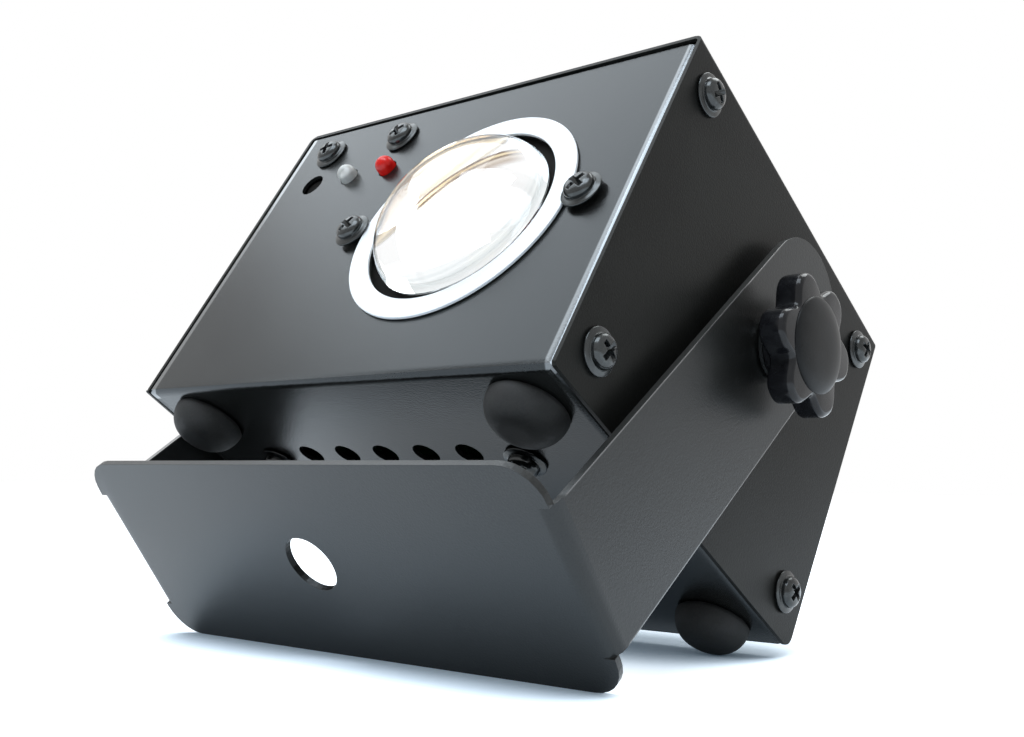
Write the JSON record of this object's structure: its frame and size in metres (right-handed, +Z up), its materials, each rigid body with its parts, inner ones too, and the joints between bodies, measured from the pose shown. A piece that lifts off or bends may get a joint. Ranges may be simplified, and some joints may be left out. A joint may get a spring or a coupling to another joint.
{
  "type": "strobe light",
  "caption": "Compact LED strobe light with a domed lens, in a black folded-sheet box that tilts in a U bracket clamped by lobed knobs, standing on rubber feet",
  "frame": {"origin": "centre of the bounding box in X and Y, on the floor the light stands on", "axes": "+X along the pivot axis, to the right of someone facing the lens; +Y towards the rear panel; +Z up"},
  "size_m": [0.1654, 0.1518, 0.1371],
  "materials": {
    "black_powder_coat": "satin fine-texture powder coat",
    "black_screw": "glossy black oxide",
    "gloss_black_plastic": "glossy",
    "black_rubber": "matt",
    "clear_lens": "clear, polished",
    "white_trim": "satin white",
    "matt_black_plastic": "matt",
    "mirror_coat": "vacuum-metallised mirror",
    "led_surface": "phosphor over a white board",
    "bare_aluminium": "plain milled",
    "circuit_board": "solder mask",
    "dark_core": "matt",
    "red_indicator": "tinted clear resin",
    "clear_indicator": "water-clear resin",
    "zinc_steel": "zinc plated"
  },
  "bodies": {
    "bracket_body": {"bracket": "black_powder_coat", "spacer_washer_left": "black_rubber", "spacer_washer_right": "black_rubber"},
    "housing_body": {"cover_shell": "black_powder_coat", "chassis": "black_powder_coat", "cover_screw_left_front_lower": "black_screw", "cover_screw_left_front_upper": "black_screw", "driver_screw_left_front": "black_screw", "cover_screw_left_rear_lower": "black_screw", "cover_screw_left_rear_upper": "black_screw", "driver_screw_left_rear": "black_screw", "lens_screw_left": "black_screw", "board_screw_left": "black_screw", "cover_screw_right_front_lower": "black_screw", "cover_screw_right_front_upper": "black_screw", "driver_screw_right_front": "black_screw", "cover_screw_right_rear_lower": "black_screw", "cover_screw_right_rear_upper": "black_screw", "driver_screw_right_rear": "black_screw", "lens_screw_right": "black_screw", "board_screw_right": "black_screw", "lens": "clear_lens", "lens_ring": "white_trim", "lens_holder": "matt_black_plastic", "reflector": "mirror_coat", "led_module": "led_surface", "heat_sink": "bare_aluminium", "heat_sink_post_left": "zinc_steel", "heat_sink_post_right": "zinc_steel", "control_board": "circuit_board", "control_board_post_left": "zinc_steel", "control_board_post_right": "zinc_steel", "microphone": "dark_core", "signal_led": "clear_indicator", "power_led": "red_indicator", "driver_post_left_front": "zinc_steel", "driver_post_left_rear": "zinc_steel", "driver_post_right_front": "zinc_steel", "driver_post_right_rear": "zinc_steel", "driver_board": "circuit_board", "driver_transformer": "dark_core", "driver_capacitor": "matt_black_plastic", "foot_left_front": "black_rubber", "foot_left_rear": "black_rubber", "foot_right_front": "black_rubber", "foot_right_rear": "black_rubber", "power_inlet": "matt_black_plastic", "speed_potentiometer": "zinc_steel", "pivot_nut_left": "zinc_steel", "pivot_nut_right": "zinc_steel"},
    "speed_control": {"speed_knob": "matt_black_plastic", "speed_shaft": "bare_aluminium"},
    "clamp_washer_left_body": {"clamp_washer_left": "zinc_steel"},
    "clamp_knob_left_body": {"clamp_knob_left": "gloss_black_plastic", "clamp_stud_left": "zinc_steel"},
    "clamp_washer_right_body": {"clamp_washer_right": "zinc_steel"},
    "clamp_knob_right_body": {"clamp_knob_right": "gloss_black_plastic", "clamp_stud_right": "zinc_steel"}
  },
  "joints": [
    {"name": "housing_tilt", "type": "hinge", "parent": "bracket_body", "child": "housing_body", "pos_m": [0, 0.00699, 0.06954], "axis": [1, 0, 0], "continuous": true},
    {"name": "speed_turn", "type": "hinge", "parent": "housing_body", "child": "speed_control", "pos_m": [0.03, 0.06172, 0.04433], "axis": [0, 0.831, -0.5563], "range_deg": [-140, 140]},
    {"name": "clamp_left_travel", "type": "slide", "parent": "housing_body", "child": "clamp_washer_left_body", "axis": [-1, 0, 0], "range_m": [0, 0.002]},
    {"name": "clamp_left_turn", "type": "hinge", "parent": "clamp_washer_left_body", "child": "clamp_knob_left_body", "pos_m": [-0.078, 0.00699, 0.06954], "axis": [-1, 0, 0], "range_deg": [0, 720]},
    {"name": "clamp_right_travel", "type": "slide", "parent": "housing_body", "child": "clamp_washer_right_body", "axis": [1, 0, 0], "range_m": [0, 0.002]},
    {"name": "clamp_right_turn", "type": "hinge", "parent": "clamp_washer_right_body", "child": "clamp_knob_right_body", "pos_m": [0.078, 0.00699, 0.06954], "axis": [1, 0, 0], "range_deg": [0, 720]}
  ],
  "couplings": [
    {"joint": "clamp_left_turn", "follows": "clamp_left_travel", "rad_per_m": 6283.2},
    {"joint": "clamp_right_turn", "follows": "clamp_right_travel", "rad_per_m": 6283.2}
  ]
}
